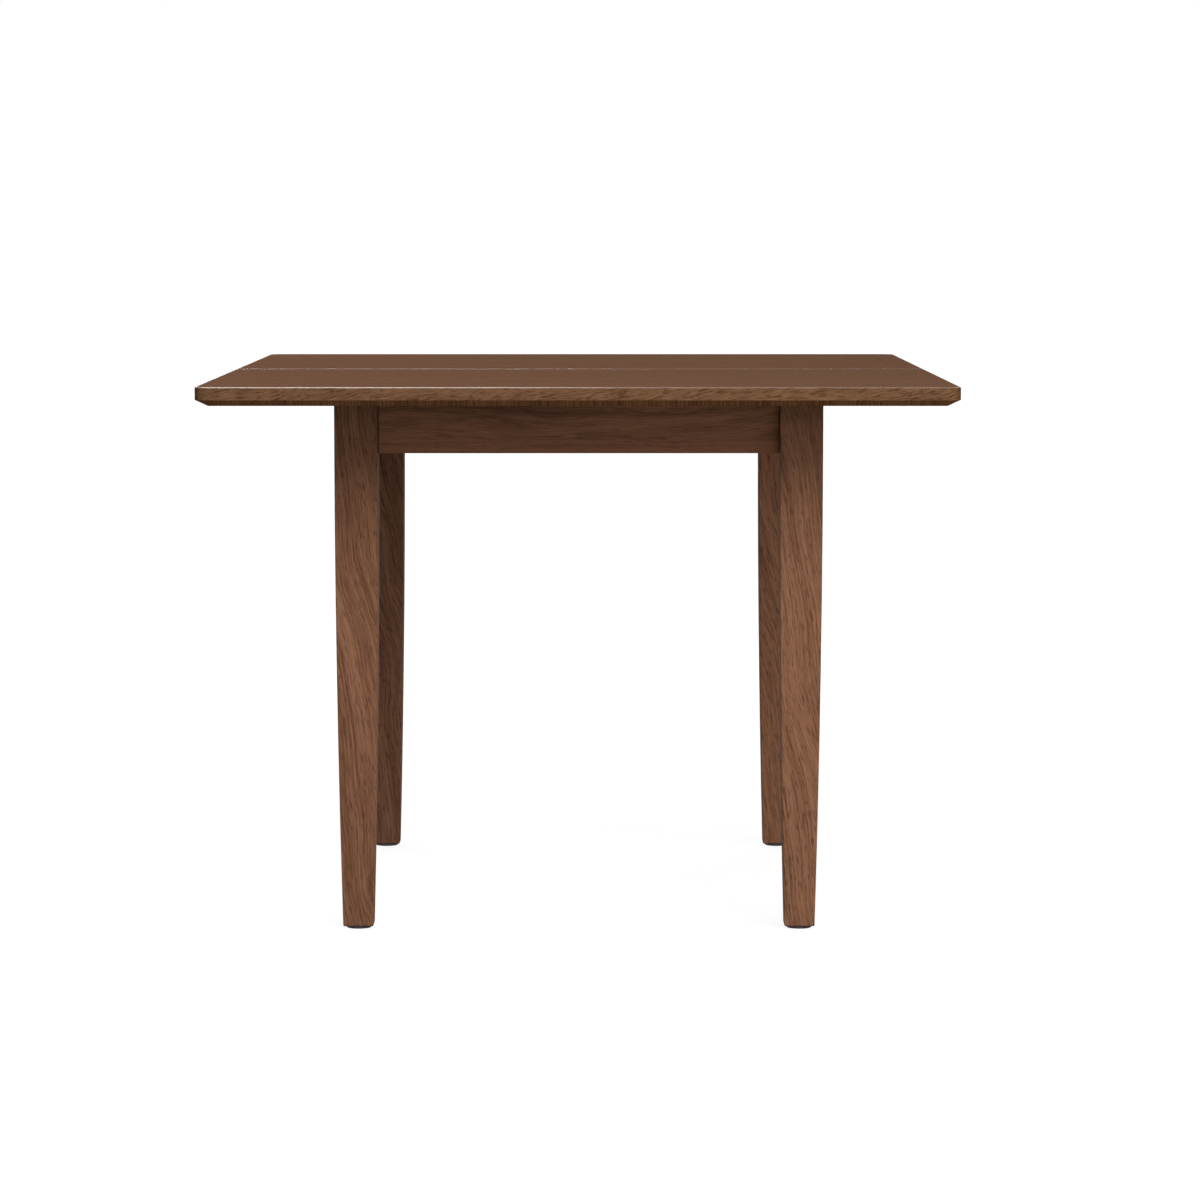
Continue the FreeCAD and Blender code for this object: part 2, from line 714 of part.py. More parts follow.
def pinion_outline():
    """The toothed outline of the pinion, with a tooth pointing along +X."""
    tip, root = pitch_radius + addendum, pitch_radius - dedendum
    base = max(pitch_radius * math.cos(pressure_angle), root)
    half_tooth_angle = (tooth_pitch / 2 - gear_backlash) / 2 / pitch_radius
    flank_radii = (base, (base + tip) / 2, tip)
    edges = []
    step = 2 * math.pi / pinion_teeth

    def place(radius, angle):
        return at(radius * math.cos(angle), radius * math.sin(angle), gear_bottom)

    for k in range(pinion_teeth):
        turn = k * step
        rising = [involute_point(r, half_tooth_angle, -1) for r in flank_radii]
        falling = [involute_point(r, half_tooth_angle, 1) for r in reversed(flank_radii)]
        up_flank = [place(r, turn + a) for r, a in rising]
        down_flank = [place(r, turn + a) for r, a in falling]
        start = place(root, turn + rising[0][1])
        end = place(root, turn + falling[-1][1])
        following = place(root, turn + step + rising[0][1])
        edges += [Part.LineSegment(start, up_flank[0]).toShape(), Part.Arc(*up_flank).toShape(),
                  Part.LineSegment(up_flank[-1], down_flank[0]).toShape(), Part.Arc(*down_flank).toShape(),
                  Part.LineSegment(down_flank[-1], end).toShape(), Part.LineSegment(end, following).toShape()]
    return edges


def axle(x_side, slack=0):
    """The pinion's axle: collar, bearing and head above the rail's floor, a tail in the cleat."""
    x = x_side * slide_x
    bearing_height = gear_face + axle_side_play
    tail = Part.makeCylinder(axle_tail_radius + slack, axle_tail_length + slack, at(x, 0, rail_floor), down)
    if slack:
        return tail
    collar = Part.makeCylinder(axle_collar_radius, axle_collar_height - axle_side_play / 2,
                               at(x, 0, rail_floor), up)
    shaft = Part.makeCylinder(axle_radius, axle_collar_height + bearing_height, at(x, 0, rail_floor), up)
    head = Part.makeCylinder(axle_head_radius, axle_head_height,
                             at(x, 0, gear_top + axle_side_play / 2), up)
    return tail.fuse([collar, shaft, head]).removeSplitter()


def make_pinions():
    """A pinion on its axle between the racks of each slide."""
    bore = Part.makeCylinder(axle_radius + axle_fit, gear_face, at(0, 0, gear_bottom), up)
    pinion = prism(pinion_outline(), up * gear_face).cut(bore)
    for name, side in sides.items():
        save("pinion_" + name, moved(pinion, side * slide_x))
    save("pinion_axles", group([axle(side) for side in sides.values()]))


def sector(inner, outer, first, last, z, height):
    """A block between two radii and two angles about the origin."""
    middle = (first + last) / 2

    def place(radius, angle):
        return at(radius * math.cos(angle), radius * math.sin(angle), z)

    edges = [Part.Arc(place(outer, first), place(outer, middle), place(outer, last)).toShape(),
             Part.LineSegment(place(outer, last), place(inner, last)).toShape(),
             Part.Arc(place(inner, last), place(inner, middle), place(inner, first)).toShape(),
             Part.LineSegment(place(inner, first), place(outer, first)).toShape()]
    return prism(edges, up * height)


def lever_blank():
    """A catch lever about its pivot, released: a hook along +X with a curved slot, and a handle."""
    z, height = catch_lever_bottom, catch_lever_thickness
    slot_half = catch_stud_radius + catch_slot_clearance
    hook_half = slot_half + catch_hook_wall
    half_angle = catch_hook_angle / 2
    hook = sector(catch_reach - hook_half, catch_reach + hook_half, -half_angle, half_angle, z, height)
    eye = Part.makeCylinder(catch_handle_width / 2, height, at(0, 0, z), up)
    arm = box((0, catch_reach - slot_half), (-catch_arm_width / 2, catch_arm_width / 2), (z, z + height))
    handle_end = catch_handle_length - catch_handle_width / 2
    handle = box((-handle_end, 0), (-catch_handle_width / 2, catch_handle_width / 2), (z, z + height))
    tip = Part.makeCylinder(catch_handle_width / 2, height, at(-handle_end, 0, z), up)
    lever = eye.fuse([hook, arm, handle, tip]).removeSplitter()
    slot = sector(catch_reach - slot_half, catch_reach + slot_half, 0, catch_hook_angle, z, height)
    slot_end = Part.makeCylinder(slot_half, height, at(catch_reach, 0, z), up)
    bore = Part.makeCylinder(catch_pivot_radius + catch_pivot_fit, height, at(0, 0, z), up)
    return lever.cut([slot, slot_end, bore])


def make_catches():
    """Two swivel catches: a base and a lever on the front half, a keeper on the rear one."""
    lever = lever_blank()
    base_y = -catch_pivot_setback
    bases, keepers = [], []
    for name, x in zip(sides, catch_places):
        save("catch_lever_" + name, moved(lever, x, base_y))
        plate = box((x - catch_plate_width / 2, x + catch_plate_width / 2),
                    (base_y - catch_plate_length / 2, base_y + catch_plate_length / 2),
                    (catch_plate_bottom, top_underside))
        cap_top = catch_lever_bottom - catch_float
        pin = Part.makeCylinder(catch_pivot_radius, catch_plate_bottom - cap_top, at(x, base_y, cap_top), up)
        cap = Part.makeCylinder(catch_cap_radius, catch_cap_height, at(x, base_y, cap_top - catch_cap_height), up)
        bases.append(plate.cut(catch_base_screws(screw_slack)).fuse([pin, cap]))
        keeper = box((x - keeper_width / 2, x + keeper_width / 2),
                     (catch_stud_setback - keeper_length / 2, catch_stud_setback + keeper_length / 2),
                     (catch_plate_bottom, top_underside))
        stud = Part.makeCylinder(catch_stud_radius, catch_plate_bottom - cap_top,
                                 at(x, catch_stud_setback, cap_top), up)
        keepers.append(keeper.cut(keeper_screws(screw_slack)).fuse(stud))
    save("catch_bases", group(bases))
    save("catch_keepers", group(keepers))
    save("catch_screws", group(catch_base_screws()))
    save("keeper_screws", group(keeper_screws()))


def hinge_cuts(y, slack=0):
    """The plates of one leaf hinge, one in each panel, beside the spine."""
    x = (-leaf_half_width, -leaf_half_width + hinge_plate_length + slack)
    y_limits = (y - hinge_plate_width / 2 - slack, y + hinge_plate_width / 2 + slack)
    lower = box(x, y_limits, (leaf_lower_top - hinge_plate_thickness - slack, leaf_lower_top))
    upper = box(x, y_limits, (leaf_upper_bottom, leaf_upper_bottom + hinge_plate_thickness + slack))
    return lower, upper


def hinge_link(y, slack=0):
    """The strap of one leaf hinge, which joins its plates at the spine."""
    x = -leaf_half_width + hinge_link_inset
    reach = hinge_link_reach + slack
    return box((x - slack, x + hinge_link_depth + slack),
               (y - hinge_link_width / 2 - slack, y + hinge_link_width / 2 + slack),
               (leaf_lower_top - reach, leaf_upper_bottom + reach))


def pivot_plate(y_side, slack=0):
    """A pivot plate let into an end of the upper panel; with slack, its recess."""
    face = y_side * leaf_end
    half = pivot_plate_width / 2 + slack
    back = face - y_side * (pivot_plate_thickness + slack)
    plate = box((pivot_x - half, pivot_x + half), (back, face),
                (leaf_upper_top - pivot_plate_height - slack, leaf_upper_top))
    if slack:
        return plate
    ear_half = pivot_ear_width / 2
    ear = box((pivot_x - ear_half, pivot_x + ear_half), (back, face),
              (leaf_upper_top, top_underside - pivot_top_gap))
    pin = Part.makeCylinder(pivot_radius, pivot_reach, at(pivot_x, face, pivot_z), at(0, y_side, 0))
    return plate.fuse([ear, pin]).removeSplitter()


def pivot_bracket(y_side):
    """A steel angle on a bearer, with an open notch for the leaf's pivot pin."""
    near = leaf_end + bracket_gap
    x = (pivot_x - bracket_width / 2, pivot_x + bracket_width / 2)
    top = top_underside - pivot_top_gap
    upright = box(x, (y_side * near, y_side * (near + bracket_thickness)), (leaf_lower_bottom, top))
    foot = box(x, (y_side * near, y_side * (near + bracket_foot)),
               (leaf_lower_bottom, leaf_lower_bottom + bracket_thickness))
    notch_radius = pivot_radius + pivot_fit
    across = y_side * (near + bracket_thickness / 2)
    depth = bracket_thickness / 2 + overrun
    notch = box((pivot_x - notch_radius, pivot_x + notch_radius), (across - depth, across + depth),
                (pivot_z, top + overrun))
    seat = Part.makeCylinder(notch_radius, 2 * depth, at(pivot_x, across - depth, pivot_z), at(0, 1, 0))
    return upright.fuse(foot).cut([notch, seat] + bracket_screws(y_side, screw_slack))


def leaf_align_places():
    """Where the leaf's pins stand when it is folded away: x and z, upper panel and then lower."""
    reach = [share * top_width for share in align_place_shares if share > 0]
    upper_z = 2 * pivot_z - align_z
    lower_z = (leaf_lower_bottom + leaf_lower_top) / 2
    return [(x - leaf_half_width, z) for z in (upper_z, lower_z) for x in reach]


def make_leaf():
    """The leaf, folded face to face and stored upside down between the slides."""
    place = hinge_place_share * leaf_length
    hinge_places = [place * (k - (hinge_count - 1) / 2) for k in range(hinge_count)]
    width, length = (-leaf_half_width, leaf_half_width), (-leaf_end, leaf_end)
    lower = box(width, length, (leaf_lower_bottom, leaf_lower_top))
    upper = box(width, length, (leaf_upper_bottom, leaf_upper_top))
    links = [hinge_link(y) for y in hinge_places]
    cuts = [hinge_link(y, hinge_link_gap) for y in hinge_places]
    forward, back = at(0, -1, 0), at(0, 1, 0)
    pins = []
    for x, z in leaf_align_places():
        start = at(x, -leaf_end + align_depth, z)
        pins.append(Part.makeCylinder(align_radius, align_depth + align_reach, start, forward))
        cuts.append(Part.makeCylinder(align_radius, align_depth, start, forward))
        cuts.append(Part.makeCylinder(align_radius + align_fit, align_reach + align_end_gap,
                                      at(x, leaf_end, z), forward))
    seats = [hinge_cuts(y, glue_gap) for y in hinge_places]
    lower = lower.cut(cuts + [s[0] for s in seats])
    upper = upper.cut(cuts + [s[1] for s in seats] + [pivot_plate(way, glue_gap) for way in (-1, 1)])
    plates = [p.cut(hinge_link(y, hinge_link_gap)) for y in hinge_places for p in hinge_cuts(y)]
    save("leaf_panel_lower", lower)
    save("leaf_panel_upper", upper)
    save("leaf_hinge_plates", group(plates))
    save("leaf_hinge_links", group(links))
    save("leaf_pivot_plates", group([pivot_plate(way) for way in (-1, 1)]))
    save("leaf_pivot_brackets", group([pivot_bracket(way) for way in (-1, 1)]))
    save("leaf_alignment_pins", group(pins))
    save("bracket_screws", group(bracket_screws(-1) + bracket_screws(1)))


os.makedirs("parts", exist_ok=True)
make_top()
make_legs()
make_aprons()
make_pads()
make_corner_blocks()
make_bearers()
make_rails()
make_runners()
make_pinions()
make_catches()
make_leaf()
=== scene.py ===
import json
import math
from collections import namedtuple

import bpy
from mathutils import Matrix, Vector


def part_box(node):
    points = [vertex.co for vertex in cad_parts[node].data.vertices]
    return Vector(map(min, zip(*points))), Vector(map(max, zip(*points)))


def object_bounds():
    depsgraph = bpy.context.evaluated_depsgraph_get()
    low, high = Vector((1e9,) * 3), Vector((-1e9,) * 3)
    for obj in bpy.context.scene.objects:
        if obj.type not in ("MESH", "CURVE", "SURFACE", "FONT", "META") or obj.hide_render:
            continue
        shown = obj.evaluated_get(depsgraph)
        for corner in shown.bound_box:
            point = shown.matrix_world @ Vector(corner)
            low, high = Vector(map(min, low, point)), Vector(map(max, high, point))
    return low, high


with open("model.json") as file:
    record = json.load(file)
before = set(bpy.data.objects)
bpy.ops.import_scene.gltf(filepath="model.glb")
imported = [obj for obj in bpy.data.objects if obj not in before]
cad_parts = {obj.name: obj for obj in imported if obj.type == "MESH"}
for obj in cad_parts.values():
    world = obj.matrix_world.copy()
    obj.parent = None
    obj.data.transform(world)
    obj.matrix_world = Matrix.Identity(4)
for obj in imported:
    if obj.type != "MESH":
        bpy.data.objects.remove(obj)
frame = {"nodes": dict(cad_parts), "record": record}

# An extending dining table in satin walnut, seen from its front end. Lengths are in metres.
cad_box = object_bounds()
table_height = cad_box[1][2]
apron_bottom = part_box("apron_front")[0].z
leg_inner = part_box("leg_front_left")[1]
corners = ("front_left", "front_right", "rear_left", "rear_right")
x_axis, y_axis, z_axis = (1, 0, 0), (0, 1, 0), (0, 0, 1)

# Camera: a long lens a little above the top, tipped down without any shift
camera_place = (0.028968, -6.349594, 0.980170)
camera_pitch = 0.08836
camera_lens_mm = 130.89
sensor_mm = 36.0
camera_reach = 100.0

# Lamps: their place, their target, their width and height, and their power in watts
Lamp = namedtuple("Lamp", "place target size power")
frame_middle = (0.0, 0.0, 0.5)
lamps = {
    "front": Lamp((0.8, -3.6, 2.9), frame_middle, (3.0, 2.2), 152.0),
    "right": Lamp((3.4, -2.2, 1.9), frame_middle, (2.0, 1.8), 68.0),
    "low": Lamp((1.0, -4.6, 0.8), frame_middle, (3.0, 1.2), 48.0),
    "back": Lamp((0.6, 3.6, 2.4), frame_middle, (2.4, 1.8), 60.0),
    "fill": Lamp((-3.6, -0.6, 1.4), (0.0, 0.0, 0.4), (2.0, 1.6), 26.0),
    "rim": Lamp((-1.0, 1.4, 1.9), (-0.2, -0.3, 0.75), (1.4, 0.7), 14.0),
    "left": Lamp((-1.0, -0.5, 1.7), (-0.35, -0.6, table_height), (0.8, 0.6), 2.8),
}

# Lamps for the gloss of the top alone, which draw its bright front arris and its seam
gleams = {
    "gleam": Lamp((-0.56, -0.65, 1.7), (-0.56, -0.65, 0.0), (1.0, 0.9), 64.0),
    "seam_gleam": Lamp((-0.52, 1.5, 1.45), (-0.52, 0.0, table_height), (1.1, 0.5), 32.0),
}

# World and floor: the floor turns from nearly white to white between two distances from the table
white = (1.0, 1.0, 1.0)
world_level = 0.26
floor_half = 30.0
floor_colour = (0.16, 0.16, 0.16)
floor_white = 0.87
floor_fade = (1.2, 3.2)

# Noise, in repeats per metre: a grain is drawn out along a board, a speck is alike in all directions
Grain = namedtuple("Grain", "across along detail roughness", defaults=(3.0, 0.6))
Speck = namedtuple("Speck", "scale detail roughness distortion", defaults=(2.0, 0.5, 0.0))
noise_middle = 0.5

# How far a board's seed shifts its figure, so that no two boards are alike
seed_shift_along = 0.37
seed_shift_sideways = 0.003

# The pith line, which lies beside a board and drifts and ripples along it
ring_drift = Grain(5.0, 2.6, 2.0, 0.5)
ring_ripple = Grain(45.0, 10.0)
ripple_share = 1 / 14

# Growth rings, whose lines and bands count their repeats across in ring spacings
ring_lines = Grain(1.0, 2.5, 3.0, 0.62)
ring_bands = Grain(0.16, 1.2, 2.0, 0.5)

# Fibres and open pores of walnut; weights say how much each noise darkens, on top of a plain share
wood_threads = Grain(700.0, 22.0, 2.0)
pore_dashes = Grain(560.0, 62.0, 1.0, 0.5)
pore_limits = (0.07, 0.16)
pore_depth_share = 0.5
pore_roughness = 0.12
walnut_weights = {"plain": 0.45, "rings": 1.7, "bands": 0.8, "threads": 0.95}
wood_depth = 0.0001

# Planed and oiled boards, for the legs and the leaf
oiled_pore_dark = 0.34
oiled_roughness = 0.58
oiled_gloss = 0.006

# Legs: colours in linear light, as all colours here, and a seed for each corner, with a tone that paints
# light and shade: darker on the left, most at the rear left, and lighter at the rear right
leg_light = (0.236, 0.114, 0.064)
leg_dark = (0.088, 0.036, 0.0195)
leg_painted_light_tones = (0.98, 1.0, 0.81, 1.10)
leg_seeds = (0.6, 2.3, 4.0, 5.7)
leg_board = {"tilt": 0.17, "warp": 0.09, "pith": (0.55, 0.75), "spacing": 0.0020, "contrast": 0.78}

# Top and leaf: a smooth face
top_light = (0.152, 0.080, 0.049)
top_dark = (0.115, 0.057, 0.033)
leaf_seeds = {"lower": 9.0, "upper": 11.3}
leaf_board = {"warp": 0.10, "pith": (0.9, 0.3), "spacing": 0.0040, "contrast": 0.7}
top_seeds = {"front": 1.3, "rear": 5.1}
top_board = {**leaf_board, "pith": (1.4, 0.12)}
top_pore_dark = 0.20
top_wood_depth = 0.00008
top_wood_bump = 0.4
face_roughness = 0.66

# The top's front and rear edges: long fibres that climb to one side and sway
edge_light = (0.151, 0.077, 0.039)
edge_dark = (0.048, 0.022, 0.010)
edge_roughness = 0.55
edge_climb = -0.20
edge_sway = 0.016
edge_sway_middle = 0.45
edge_sway_across = 12.0
edge_sway_up = 22.0
edge_streaks = Grain(520.0, 45.0, 3.0, 0.72)
edge_flecks = Grain(620.0, 85.0, 1.0, 0.5)
edge_fleck_limits = (0.05, 0.16)
edge_patches = Grain(55.0, 14.0, 2.0, 0.5)
edge_weights = {"plain": 0.38, "streaks": 1.8, "patches": 0.5, "flecks": 0.32}

# The top's side edges: end grain, with cells in wide arcs
end_cells = Speck(850.0, 2.0, 0.7)
end_arcs = Grain(240.0, 3.0)
end_arc_warp = 0.05
end_arc_pith = (0.16, 0.0)
end_weights = {"plain": 0.62, "cells": 1.3, "arcs": 1.1}

# The bevel under the top's edge: close stripes from the cutter
bevel_light = (0.262, 0.120, 0.047)
bevel_dark = (0.108, 0.044, 0.016)
bevel_stripes = Grain(430.0, 12.0, 3.0, 0.75)
bevel_bands = Grain(22.0, 1.0, 1.0, 0.5)
bevel_weights = {"plain": 0.45, "stripes": 2.6, "bands": 0.8}

# The top's arris: a painted highlight that makes it a little paler, with a coat that shines
arris_painted_highlight = (0.42, 0.32, 0.26)
arris_highlight_share = 0.06
arris_coat = 0.50
arris_coat_roughness = 0.34

# Where one finish of the top gives way to the next, by how far the surface faces up, from -1 to 1
face_from = (0.80, 0.97)
face_gloss_from = (0.93, 0.99)
bevel_from = (-0.30, -0.60)
underside_from = (-0.93, -0.985)
arris_from = (0.32, 0.52)
arris_to = (0.990, 0.999)

# Where the top's side edges begin, by how much more the surface faces sideways than endways
side_from = (-0.05, 0.05)

# Aprons: flat-sawn figure above a straight-grained strip, and painted shade in the corner where a leg begins
apron_light = (0.285, 0.132, 0.072)
apron_dark = (0.095, 0.041, 0.022)
apron_seeds = {"front": 7.3, "rear": 3.1, "left": 4.7, "right": 6.2}
apron_board = {"warp": 0.06, "pith": (-0.690, 0.012), "spacing": 0.0026}
apron_pore_dark = 0.20
apron_roughness = 0.60
apron_gloss = 0.03
strip_light = (0.236, 0.106, 0.057)
strip_grain = Grain(330.0, 4.0)
strip_weights = {"plain": 0.35, "streaks": 1.2}
strip_height = 0.018
strip_blur = 0.0004
corner_shade_width = 0.0014
corner_shade_dark = 0.15

# Unfinished beech of the inner frame: pale and even, with short ray flecks
beech_light = (0.58, 0.40, 0.245)
beech_dark = (0.40, 0.25, 0.135)
beech_seeds = {"across": 0.4, "along": 1.9}
beech_warp = 0.04
beech_pith = (0.4, 0.1)
beech_rings = Grain(230.0, 3.0)
beech_threads = Grain(500.0, 20.0)
beech_weights = {"plain": 0.40, "rings": 0.6, "threads": 0.6}
ray_colour = (0.36, 0.20, 0.10)
ray_flecks = Grain(700.0, 160.0, 0.0)
ray_limits = (0.16, 0.24)
ray_share = 0.5
beech_roughness = 0.68
beech_gloss = 0.25

# Metals: fine brushing, drawn out along the slides, and slight stains
aluminium_colour = (0.40, 0.405, 0.41)
aluminium_roughness = 0.66
drawn_along_y = (1.0, 0.02, 1.0)
zinc_colour = (0.36, 0.37, 0.385)
zinc_roughness = 0.50
brass_colour = (0.46, 0.31, 0.12)
brass_roughness = 0.38
metal_brush = Speck(900.0, 2.0, 0.6)
metal_brush_spread = 0.16
metal_brush_depth = 0.00002
metal_brush_bump = 0.4
metal_stains = Speck(35.0, 3.0, 0.55)
metal_stain_weights = {"plain": 0.90, "stains": 0.16}

# Plastics: a fine moulded grain, and slight clouds
acetal_colour = (0.60, 0.59, 0.55)
acetal_roughness = 0.42
stop_colour = (0.025, 0.025, 0.027)
stop_roughness = 0.50
glide_colour = (0.014, 0.014, 0.015)
glide_roughness = 0.60
glide_grain = Speck(700.0, 2.0, 0.6)
glide_grain_depth = 0.0001
plastic_grain = Speck(1400.0, 2.0, 0.6)
plastic_grain_depth = 0.00004
plastic_grain_spread = 0.12
plastic_clouds = Speck(60.0)
plastic_cloud_weights = {"plain": 0.90, "clouds": 0.20}
plastic_gloss = 0.4

# Felt: short fibres, matted in clumps
felt_colour = (0.30, 0.27, 0.25)
felt_fibres = Speck(1800.0, 4.0, 0.7, 1.5)
felt_clumps = Speck(300.0, 3.0, 0.6)
felt_weights = {"plain": 0.55, "fibres": 0.5, "clumps": 0.35}
felt_roughness = 0.95
felt_depth = 0.0003
felt_bump = 0.8
felt_sheen = 0.3
felt_gloss = 0.1


class Tree:
    """The node tree of one material or world, built node by node."""

    def __init__(self, owner):
        owner.use_nodes = True
        self.owner = owner
        self.nodes = owner.node_tree.nodes
        self.links = owner.node_tree.links
        self.nodes.clear()

    def add(self, kind, inputs=None, **settings):
        node = self.nodes.new(kind)
        for key, value in settings.items():
            setattr(node, key, value)
        for key, value in (inputs or {}).items():
            self.feed(node.inputs[key], value)
        return node

    def feed(self, socket, value):
        if isinstance(value, bpy.types.NodeSocket):
            self.links.new(value, socket)
        elif socket.type == "RGBA":
            socket.default_value = (*value, 1.0)
        else:
            socket.default_value = value

    def math(self, operation, a, b=0.0, c=0.0):
        return self.add("ShaderNodeMath", {0: a, 1: b, 2: c}, operation=operation).outputs[0]

    def place(self):
        return self.add("ShaderNodeTexCoord").outputs["Object"]

    def normal(self):
        """The three parts of the surface's direction, in the object's own space."""
        geometry = self.add("ShaderNodeNewGeometry").outputs["Normal"]
        turned = self.add("ShaderNodeVectorTransform", {"Vector": geometry}, vector_type="NORMAL",
                          convert_from="WORLD", convert_to="OBJECT")
        return self.parts(turned.outputs[0])

    def parts(self, vector):
        return list(self.add("ShaderNodeSeparateXYZ", {0: vector}).outputs)

    def vector(self, x, y, z):
        return self.add("ShaderNodeCombineXYZ", {0: x, 1: y, 2: z}).outputs[0]

    def reach(self, vector, direction):
        """How far a vector reaches in a direction."""
        product = self.add("ShaderNodeVectorMath", {0: vector, 1: direction}, operation="DOT_PRODUCT")
        return product.outputs["Value"]

    def noise(self, vector, speck):
        inputs = {"Vector": vector, "Scale": speck.scale, "Detail": speck.detail,
                  "Roughness": speck.roughness, "Distortion": speck.distortion}
        return self.add("ShaderNodeTexNoise", inputs).outputs[0]

    def step(self, value, limits=(0.0, 1.0), ends=(0.0, 1.0)):
        """Runs smoothly between two ends as a value goes from one limit to the other."""
        inputs = {0: value, 1: limits[0], 2: limits[1], 3: ends[0], 4: ends[1]}
        return self.add("ShaderNodeMapRange", inputs, interpolation_type="SMOOTHSTEP").outputs[0]

    def total(self, weights, **values):
        """The weighted sum of some values, on top of the plain share in the weights."""
        result = weights["plain"]
        for name, value in values.items():
            result = self.math("MULTIPLY_ADD", value, weights[name], result)
        return result

    def mix(self, share, a, b):
        return self.add("ShaderNodeMix", {0: share, 6: a, 7: b}, data_type="RGBA").outputs[2]

    def scale(self, colour, factor):
        """A colour times a number."""
        return self.add("ShaderNodeVectorMath", {0: colour, "Scale": factor}, operation="SCALE").outputs[0]

    def darken(self, colour, mask, dark):
        """A colour made darker by the share dark where the mask is 1."""
        return self.scale(colour, self.math("MULTIPLY_ADD", mask, -dark, 1.0))

    def bump(self, height, depth, strength=0.5):
        inputs = {"Height": height, "Distance": depth, "Strength": strength}
        return self.add("ShaderNodeBump", inputs).outputs[0]

    def finish(self, colour, roughness, normal, **others):
        """Ends the tree in one surface; others are more of its sockets. Returns the material."""
        inputs = {"Base Color": colour, "Roughness": roughness, "Normal": normal}
        inputs.update({key.replace("_", " "): value for key, value in others.items()})
        surface = self.add("ShaderNodeBsdfPrincipled", inputs)
        self.add("ShaderNodeOutputMaterial", {0: surface.outputs[0]})
        return self.owner


def new_material(name):
    return Tree(bpy.data.materials.new(name))


def grain_space(tree, along, across, through, seed):
    """Board coordinates: across the grain, along it and through the board, shifted by seed."""
    place = tree.place()
    shifted = tree.math("ADD", tree.reach(place, along), seed_shift_along * seed)
    return tree.reach(place, across), shifted, tree.reach(place, through)


def stretched(tree, u, v, w, grain):
    """Noise drawn out along v, about zero."""
    scaled = tree.vector(tree.math("MULTIPLY", u, grain.across), tree.math("MULTIPLY", v, grain.along),
                         tree.math("MULTIPLY", w, grain.across))
    noise = tree.noise(scaled, Speck(1.0, grain.detail, grain.roughness))
    return tree.math("SUBTRACT", noise, noise_middle)


def ring_place(tree, u, v, w, seed, tilt, warp, pith):
    """Places against a pith line that leans and wanders along the board: sideways of it, and away from it."""
    drift = tree.math("MULTIPLY", stretched(tree, u, v, w, ring_drift), warp)
    ripple = tree.math("MULTIPLY", stretched(tree, u, v, w, ring_ripple), warp * ripple_share)
    shift = tree.math("ADD", tree.math("ADD", drift, ripple), pith[0] + seed_shift_sideways * seed)
    sideways = tree.math("ADD", tree.math("MULTIPLY_ADD", v, tilt, u), shift)
    deep = tree.math("ADD", w, pith[1])
    squares = tree.math("MULTIPLY_ADD", sideways, sideways, tree.math("MULTIPLY", deep, deep))
    return sideways, tree.math("SQRT", squares)


def walnut(tree, u, v, w, seed, warp, pith, spacing, tilt=0.0, contrast=1.0):
    """Walnut figure: how dark it is, from 0 to 1, a mask of open pores, and the height of its fibres."""
    side, ring = ring_place(tree, u, v, w, seed, tilt, warp, pith)

    def of_rings(grain):
        spaced = grain._replace(across=grain.across / spacing)
        return tree.math("MULTIPLY", stretched(tree, ring, v, 0.0, spaced), contrast)

    threads = stretched(tree, side, v, w, wood_threads)
    share = tree.total(walnut_weights, rings=of_rings(ring_lines), bands=of_rings(ring_bands),
                       threads=threads)
    pores = tree.step(stretched(tree, side, v, w, pore_dashes), pore_limits)
    height = tree.math("MULTIPLY_ADD", pores, -pore_depth_share, threads)
    return tree.step(share), pores, height


def oiled_walnut(name, along, across, through, light, dark, seed, board):
    """A planed and oiled board."""
    tree = new_material(name)
    u, v, w = grain_space(tree, along, across, through, seed)
    share, pores, height = walnut(tree, u, v, w, seed, **board)
    colour = tree.darken(tree.mix(share, light, dark), pores, oiled_pore_dark)
    rough = tree.math("MULTIPLY_ADD", pores, pore_roughness, oiled_roughness)
    return tree.finish(colour, rough, tree.bump(height, wood_depth), Specular_IOR_Level=oiled_gloss)


def edge_colour(tree, x, y, z, seed):
    """The top's front and rear edges."""
    swaying = tree.vector(tree.math("MULTIPLY", x, edge_sway_across), tree.math("MULTIPLY", z, edge_sway_up),
                          seed)
    sway = tree.math("SUBTRACT", tree.noise(swaying, Speck(1.0)), edge_sway_middle)
    slope = tree.math("MULTIPLY_ADD", sway, edge_sway, tree.math("MULTIPLY", x, edge_climb))
    rise = tree.math("ADD", z, slope)
    share = tree.total(edge_weights, streaks=stretched(tree, rise, x, y, edge_streaks),
                       patches=stretched(tree, z, x, y, edge_patches),
                       flecks=tree.step(stretched(tree, rise, x, y, edge_flecks), edge_fleck_limits))
    return tree.mix(tree.step(share), edge_light, edge_dark)


def end_colour(tree, y, z, seed):
    """The top's side edges."""
    cells = tree.math("SUBTRACT", tree.noise(tree.vector(y, z, seed), end_cells), noise_middle)
    ring = ring_place(tree, z, y, y, seed, 0.0, end_arc_warp, end_arc_pith)[1]
    share = tree.total(end_weights, cells=cells, arcs=stretched(tree, ring, y, 0.0, end_arcs))
    return tree.mix(tree.step(share), edge_light, edge_dark)


def bevel_colour(tree, x, y, z, sideways):
    """The bevel, whose stripes stand across each edge."""
    endways = tree.math("SUBTRACT", 1.0, sideways)
    run = tree.math("MULTIPLY_ADD", y, sideways, tree.math("MULTIPLY", x, endways))
    share = tree.total(bevel_weights, stripes=stretched(tree, run, z, 0.0, bevel_stripes),
                       bands=stretched(tree, run, z, 0.0, bevel_bands))
    return tree.mix(tree.step(share), bevel_light, bevel_dark)


